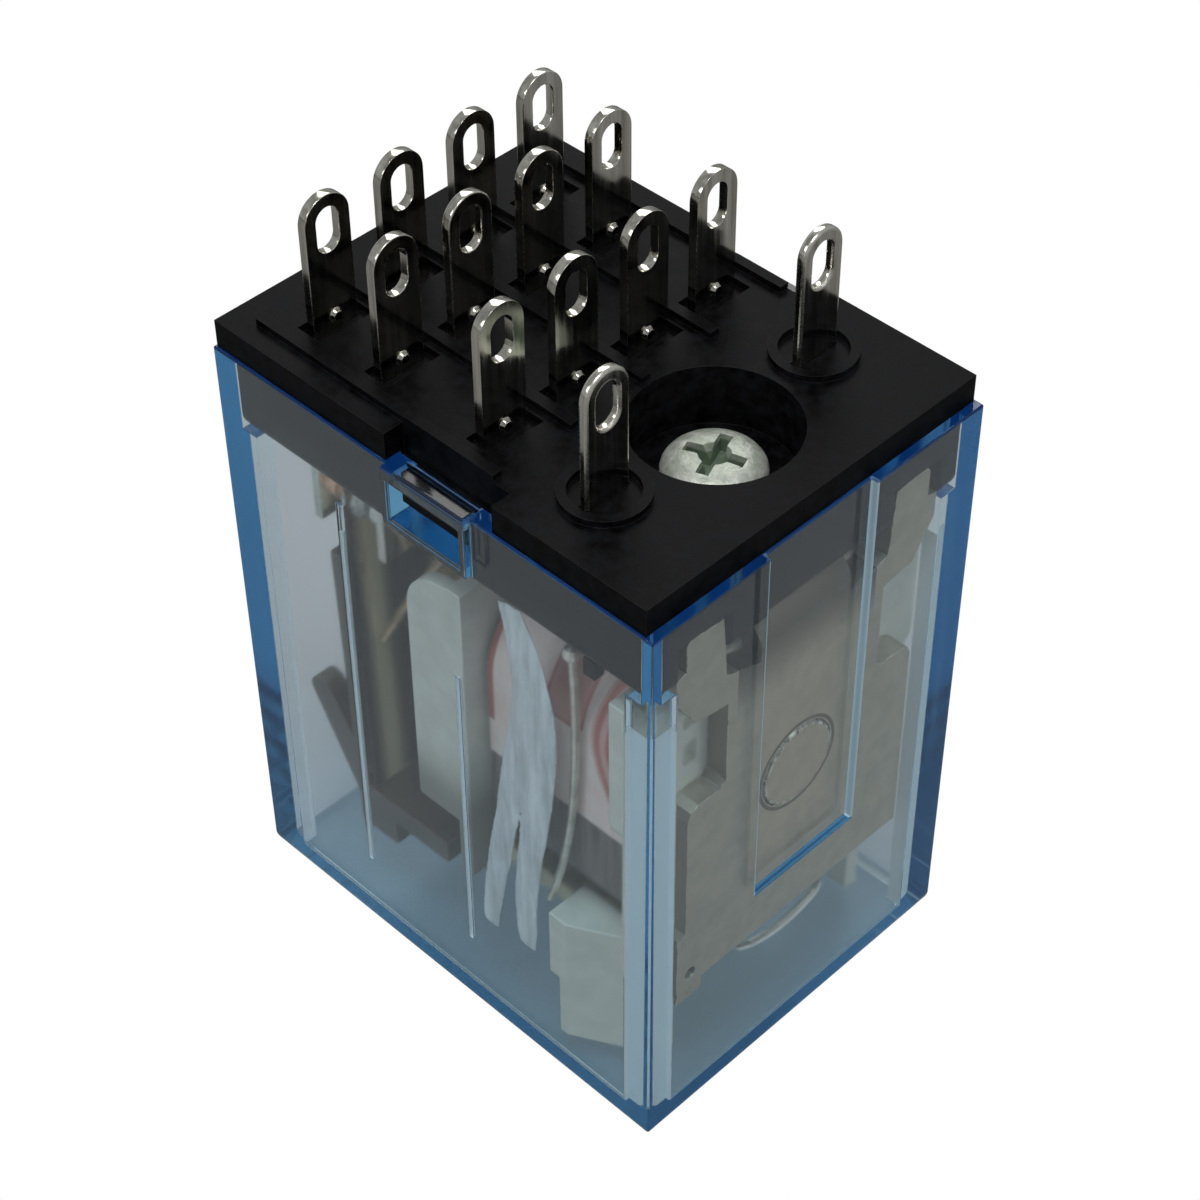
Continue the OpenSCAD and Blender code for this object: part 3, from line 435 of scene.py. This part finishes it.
# Painted shade: darker neck, groove and sideways faces.
for look in (yoke_face, yoke_edge):
    _, yoke_y, yoke_z = axes(look.node_tree)
    _, facing_y, _ = axes(look.node_tree, "Normal")
    from_core = reach(yoke_y, figure("SUBTRACT", yoke_z, CORE_Z))
    neck_shade = figure("MULTIPLY", fade(yoke_z, *NECK_SHADE_Z, 0, NECK_SHADE_SHARE, "SMOOTHSTEP"),
                      between(yoke_y, *NECK_Y))
    groove_shade = figure("MULTIPLY", between(from_core, *GROOVE_FROM_CORE), GROOVE_SHADE_SHARE)
    on_side = figure("GREATER_THAN", figure("ABSOLUTE", facing_y), SIDE_FACING)
    side_shade = figure("MULTIPLY", on_side, SIDE_SHADE_SHARE)
    repaint(look, figure("MAXIMUM", figure("MAXIMUM", neck_shade, groove_shade), side_shade), PAINTED_YOKE_SHADE)
dress("yoke", [yoke_face, yoke_edge], edge=0.00017)
dress("core", [yoke_face, yoke_edge], edge=0.00020, rings=3)
dress("armature", [armature_face, armature_face], edge=0.0001)

# Bobbin. One moulding in ivory plastic, with slightly paler rounded edges; its wing is
# painted greyer as painted shade where it runs down beside the contact springs.
IVORY = (0.78, 0.76, 0.67, 1)
IVORY_SHADE = (0.68, 0.66, 0.58, 1)
IVORY_EDGE = (0.80, 0.79, 0.72, 1)
# Painted shade on the wing's lower part.
WING_PAINTED_SHADE = (0.20, 0.185, 0.15, 1)
WING_SHADE_SHARE = 0.9
WING_SHADE_Z = (0.0175, 0.0130)
WING_TO_X = 0.0021

bobbin_look = grained("ivory_moulding", IVORY_SHADE, IVORY, rough=(0.36, 0.5), grain=0.0016,
                      relief=0.00002)
bobbin_edge = grained("ivory_moulding_edge", IVORY, IVORY_EDGE, rough=(0.3, 0.4), grain=0.0012,
                      relief=0.00001)
# Painted shade: the wing darkens towards its lower end.
for look in (bobbin_look, bobbin_edge):
    bobbin_x, _, bobbin_z = axes(look.node_tree)
    wing_shade = fade(bobbin_z, *WING_SHADE_Z, 0, WING_SHADE_SHARE, "SMOOTHSTEP")
    repaint(look, figure("MULTIPLY", wing_shade, figure("LESS_THAN", bobbin_x, WING_TO_X)), WING_PAINTED_SHADE)
dress("bobbin", [bobbin_look, bobbin_edge], edge=0.00012)

# Winding. Fine enamelled copper wire laid in even turns round the bobbin, dark with
# lacquer; a few turns catch more light than their neighbours.
LACQUER_DARK = (0.085, 0.068, 0.056, 1)
LACQUER_PALE = (0.30, 0.25, 0.21, 1)
TURN_PITCH = 0.00016
TURN_DEPTH = TURN_PITCH / 3
TURN_STRENGTH = 0.9
TURN_WANDER = 0.6
TURN_DETAIL = 1

winding_look = grained("lacquered_wire", LACQUER_DARK, LACQUER_PALE, rough=(0.30, 0.5), grain=0.0006,
                       relief=0.00001, stretch=(1, 0.08, 0.08))
tree = winding_look.node_tree
# At a scale of 1, the bands of a wave repeat every tenth of pi.
turns = tree.nodes.new("ShaderNodeTexWave")
turns.bands_direction = "X"
give(turns.inputs["Vector"], tree.nodes.new("ShaderNodeTexCoord").outputs["Object"])
give(turns.inputs["Scale"], math.pi / (10 * TURN_PITCH))
give(turns.inputs["Distortion"], TURN_WANDER)
give(turns.inputs["Detail"], TURN_DETAIL)
turns_relief = tree.nodes.new("ShaderNodeBump")
give(turns_relief.inputs["Strength"], TURN_STRENGTH)
give(turns_relief.inputs["Distance"], TURN_DEPTH)
give(turns_relief.inputs["Height"], turns.outputs["Fac"])
give(turns_relief.inputs["Normal"], tree.nodes["relief"].outputs["Normal"])
give(tree.nodes["Principled BSDF"].inputs["Normal"], turns_relief.outputs["Normal"])
dress("coil_winding", [winding_look], edge=0.0003)

# Tape. Thin white film wrapped round the winding's upper half, printed in plain red: a field
# with rounded corners, curved lines over a paler wash, and a straight line by the flange.
FILM_WHITE = (0.94, 0.80, 0.74, 1)
FILM_SHADE = (0.88, 0.66, 0.60, 1)
INK_RED = (0.44, 0.06, 0.05, 1)
INK_SHARE = 0.9
FIELD_X = 0.0066
FIELD_Z = 0.0256
FIELD_HALF_X = 0.00075
FIELD_HALF_Z = 0.0021
FIELD_CORNER = 0.0004
FIELD_FILL = 0.72
FIELD_LINE = 0.00009
ARC_X = 0.0163
ARC_Z = 0.0240
ARC_FIRST = 0.0080
ARC_PITCH = 0.00036
ARC_GAP = 0.52 * ARC_PITCH
ARC_REACH = 0.0022
ARC_WASH = 0.6
LINE_X = (0.0016, 0.0020)
LINE_Z = (0.0198, 0.0258)


def past(value, centre, half):
    """How far a value is past a stretch about its centre, and 0 inside the stretch."""
    away = figure("ABSOLUTE", figure("SUBTRACT", value, centre))
    return figure("MAXIMUM", figure("SUBTRACT", away, half), 0)


tape_look = grained("printed_film", FILM_SHADE, FILM_WHITE, rough=(0.28, 0.42), grain=0.0014, relief=0.00003)
tape_x, _, tape_z = axes(tape_look.node_tree)
from_field = reach(past(tape_x, FIELD_X, FIELD_HALF_X), past(tape_z, FIELD_Z, FIELD_HALF_Z))
field_fill = figure("MULTIPLY", figure("LESS_THAN", from_field, FIELD_CORNER), FIELD_FILL)
field_rim = between(from_field, FIELD_CORNER - FIELD_LINE, FIELD_CORNER + FIELD_LINE)
from_arcs = reach(figure("SUBTRACT", tape_x, ARC_X), figure("SUBTRACT", tape_z, ARC_Z))
arc_step = figure("SUBTRACT", ARC_FIRST, from_arcs)
arc_line = figure("GREATER_THAN", figure("PINGPONG", arc_step, ARC_PITCH), ARC_GAP)
arc_ink = figure("MULTIPLY", figure("MAXIMUM", arc_line, ARC_WASH), between(arc_step, 0, ARC_REACH))
line_ink = figure("MULTIPLY", between(tape_x, *LINE_X), between(tape_z, *LINE_Z))
ink = figure("MAXIMUM", field_fill, field_rim)
for more_ink in (line_ink, arc_ink):
    ink = figure("MAXIMUM", ink, more_ink)
repaint(tape_look, figure("MULTIPLY", ink, INK_SHARE), INK_RED)
dress("coil_tape", [tape_look])

# Coil leads. The winding's ends, tinned and bright. They are soldered to the coil blades'
# feet and run down the coil's sides.
TINNED_DULL = (0.58, 0.55, 0.48, 1)
TINNED_BRIGHT = (0.88, 0.83, 0.72, 1)

lead_look = grained("tinned_wire", TINNED_DULL, TINNED_BRIGHT, rough=(0.28, 0.40), grain=0.0009,
                    relief=0.000004, metal=1)
dress("coil_lead", [lead_look])

# Lead sleeve. A soft milky film tube, slit and crumpled, that hangs in front of the coil
# and parts into two legs. It is drawn as two flattened tubes, fused and then creased.
MILLIMETRE = 0.001
# From the top down, each station's x, z and half width in millimetres.
SLEEVE_LEGS = {
    "left_leg": ((4.23, 29.7, 0.51), (4.28, 29.4, 0.55), (4.63, 28.2, 0.61), (4.98, 27.0, 0.68),
                 (5.27, 25.8, 0.76), (5.38, 24.5, 0.87), (5.21, 22.9, 0.92), (4.92, 21.2, 0.92),
                 (4.52, 19.5, 0.89), (4.12, 17.4, 0.82), (3.68, 14.8, 0.76), (3.28, 12.8, 0.79),
                 (2.91, 10.7, 0.74), (2.57, 8.8, 0.68), (2.4, 7.2, 0.63), (2.39, 6.3, 0.53)),
    "right_leg": ((4.74, 29.7, 0.53), (5.21, 28.6, 0.66), (5.61, 27.5, 0.71), (5.96, 26.4, 0.79),
                  (6.19, 25.1, 0.87), (6.37, 23.8, 0.97), (6.4, 22.4, 0.97), (6.25, 20.8, 0.97),
                  (6.0, 18.9, 0.97), (5.7, 16.4, 0.95), (5.42, 14.4, 0.87), (5.08, 12.4, 0.82),
                  (4.92, 10.6, 0.82), (4.89, 8.8, 0.79), (4.92, 7.4, 0.71), (4.95, 6.7, 0.63)),
}
SLEEVE_FLAT = 0.19
SLEEVE_ROUND = 5
SLEEVE_STEPS = 8
SLEEVE_VOXEL = 0.00011
# Each crease's name, size and depth.
SLEEVE_CREASES = (("broad_crease", 0.0030, 0.00024), ("fine_crease", 0.0010, 0.00008))
CREASE_DETAIL = 2
CREASE_MIDDLE = 0.5
RELAX_SHARE = 0.5
RELAX_TIMES = 2
SMOOTH_WITHIN = 50
SLEEVE_MILKY = (0.93, 0.94, 0.95, 1)
SLEEVE_CLEAR = (0.76, 0.78, 0.80, 1)
HAZE_GRAIN = (0.34, 0.62)
HAZE_OPAQUE = (0.55, 0.95)

sleeve_low, sleeve_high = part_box("lead_sleeve")
sleeve_y = (sleeve_low[1] + sleeve_high[1]) / 2
bpy.ops.object.select_all(action="DESELECT")
legs = []
for leg_name, stations in SLEEVE_LEGS.items():
    bpy.ops.curve.primitive_nurbs_path_add(location=(0, 0, 0))
    leg = bpy.context.object
    leg.name = leg_name
    line = leg.data.splines[0]
    line.points.add(len(stations) - len(line.points))
    for point, (x, z, half) in zip(line.points, stations):
        point.co = (x * MILLIMETRE, 0, z * MILLIMETRE, 1)
        point.radius = half
    line.use_endpoint_u = True
    leg.data.bevel_depth = MILLIMETRE
    leg.data.bevel_resolution = SLEEVE_ROUND
    leg.data.use_fill_caps = True
    leg.data.resolution_u = SLEEVE_STEPS
    bpy.ops.object.convert(target="MESH")
    leg = bpy.context.object
    leg.scale = (1, SLEEVE_FLAT, 1)
    leg.location = (0, sleeve_y, 0)
    bpy.ops.object.transform_apply(location=True, rotation=True, scale=True)
    legs.append(leg)
bpy.ops.object.select_all(action="DESELECT")
for leg in legs:
    leg.select_set(True)
bpy.context.view_layer.objects.active = legs[0]
bpy.ops.object.join()
sleeve = bpy.context.object
sleeve.name = "crumpled_sleeve"
fuse = sleeve.modifiers.new("fuse", "REMESH")
fuse.mode = "VOXEL"
fuse.voxel_size = SLEEVE_VOXEL
bpy.ops.object.modifier_apply(modifier="fuse")
for crease_name, crease_size, crease_depth in SLEEVE_CREASES:
    crease = bpy.data.textures.new(crease_name, "CLOUDS")
    crease.noise_scale = crease_size
    crease.noise_depth = CREASE_DETAIL
    press = sleeve.modifiers.new(crease_name, "DISPLACE")
    press.texture = crease
    press.texture_coords = "LOCAL"
    press.direction = "Y"
    press.strength = crease_depth
    press.mid_level = CREASE_MIDDLE
    bpy.ops.object.modifier_apply(modifier=crease_name)
relax = sleeve.modifiers.new("relax", "SMOOTH")
relax.factor = RELAX_SHARE
relax.iterations = RELAX_TIMES
bpy.ops.object.modifier_apply(modifier="relax")
bpy.ops.object.shade_smooth_by_angle(angle=math.radians(SMOOTH_WITHIN))

sleeve_look = grained("milky_film", SLEEVE_CLEAR, SLEEVE_MILKY, rough=(0.24, 0.42), grain=0.0010,
                      relief=0.00004, stretch=(1, 1, 0.12))
tree = sleeve_look.node_tree
give(tree.nodes["Principled BSDF"].inputs["Alpha"],
     fade(tree.nodes["grain"].outputs["Fac"], *HAZE_GRAIN, *HAZE_OPAQUE))
sleeve.data.materials.clear()
sleeve.data.materials.append(sleeve_look)
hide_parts("lead_sleeve")
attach(sleeve, "frame")

# Spring block and rivets. A dark brown moulding, with a painted amber highlight along its
# rounded edges, that carries the four contact springs; two brass rivets hold it to the
# armature's rear.
BLOCK_DARK = (0.024, 0.016, 0.010, 1)
BLOCK_BROWN = (0.065, 0.044, 0.028, 1)
BLOCK_EDGE_BROWN = (0.10, 0.058, 0.026, 1)
# Painted highlight along the block's rounded edges.
BLOCK_EDGE_HIGHLIGHT = (0.30, 0.18, 0.08, 1)
RIVET_DULL = (0.52, 0.40, 0.22, 1)
RIVET_BRASS = (0.78, 0.63, 0.36, 1)

block_look = grained("brown_moulding", BLOCK_DARK, BLOCK_BROWN, rough=(0.30, 0.45), grain=0.0010,
                     relief=0.00002)
block_edge = grained("brown_moulding_edge", BLOCK_EDGE_BROWN, BLOCK_EDGE_HIGHLIGHT, rough=(0.22, 0.35),
                     grain=0.0006, relief=0.00002)
dress("spring_block", [block_look, block_edge], edge=0.00016)
rivet_look = grained("brass_rivet", RIVET_DULL, RIVET_BRASS, rough=(0.2, 0.35), grain=0.0006,
                     relief=0.00001, metal=1)
dress("block_rivets", [rivet_look])

# Contact springs and contacts. Each spring is bronze strip, painted dark at its sides as
# painted shade, with a painted golden highlight streak down its middle; the contacts are
# riveted beads of silver or copper alloy.
POLE_PITCH = 0.00445
STREAK_FADE = (0.00033, 0.0011)
STREAK_METAL = 0.1
# Painted shade: the springs' dark bronze.
BRONZE_PAINTED_DARK = (0.06, 0.05, 0.038, 1)
BRONZE_MID = (0.13, 0.11, 0.078, 1)
# Painted highlight: the golden streak.
BRONZE_PAINTED_HIGHLIGHT = (0.98, 0.86, 0.58, 1)
SILVER_DULL = (0.70, 0.68, 0.64, 1)
SILVER_BRIGHT = (0.96, 0.95, 0.92, 1)
COPPER_DEEP = (0.90, 0.48, 0.30, 1)
COPPER_BRIGHT = (1.0, 0.66, 0.46, 1)

spring_look = grained("bronze_strip", BRONZE_PAINTED_DARK, BRONZE_MID, rough=(0.22, 0.40), grain=0.0008,
                      relief=0.000008, stretch=(1, 1, 0.05), metal=1)
_, spring_y, _ = axes(spring_look.node_tree)
from_pole = figure("ABSOLUTE", figure("SUBTRACT", figure("PINGPONG", spring_y, POLE_PITCH), POLE_PITCH / 2))
# Painted highlight down each spring's middle, less metallic there.
streak = fade(from_pole, *STREAK_FADE, 1, 0)
repaint(spring_look, streak, BRONZE_PAINTED_HIGHLIGHT)
give(spring_look.node_tree.nodes["Principled BSDF"].inputs["Metallic"], fade(streak, 0, 1, 1, STREAK_METAL))
dress("moving_spring", [spring_look])
silver_look = grained("silver_contact", SILVER_DULL, SILVER_BRIGHT, rough=(0.22, 0.36), grain=0.0005,
                      relief=0.000008, metal=0.5)
copper_look = grained("copper_contact", COPPER_DEEP, COPPER_BRIGHT, rough=(0.22, 0.36), grain=0.0005,
                      relief=0.000008, metal=0.5)
dress("moving_contact", [silver_look])
dress("no_contact", [silver_look])
dress("nc_contact", [copper_look])

# Shunt leads. Soft braids of fine copper strands, dull all over. Each one is welded to a
# common blade's tail and to its contact spring.
BRAID_DARK = (0.34, 0.22, 0.14, 1)
BRAID_COPPER = (0.84, 0.66, 0.50, 1)

braid_look = grained("copper_braid", BRAID_DARK, BRAID_COPPER, rough=(0.32, 0.5), grain=0.00022,
                     relief=0.00004, stretch=(1, 1, 0.5), metal=1)
dress("shunt_lead", [braid_look])

# Hinge spring. Bright drawn spring wire, bowed across under the yoke's closed end, where
# it keeps the armature's edge on the yoke.
WIRE_GREY = (0.62, 0.61, 0.57, 1)
WIRE_BRIGHT = (0.88, 0.87, 0.83, 1)

wire_look = grained("drawn_spring_wire", WIRE_GREY, WIRE_BRIGHT, rough=(0.12, 0.25), grain=0.0005,
                    relief=0.000006, stretch=(1, 0.1, 1), metal=1)
dress("hinge_spring", [wire_look])
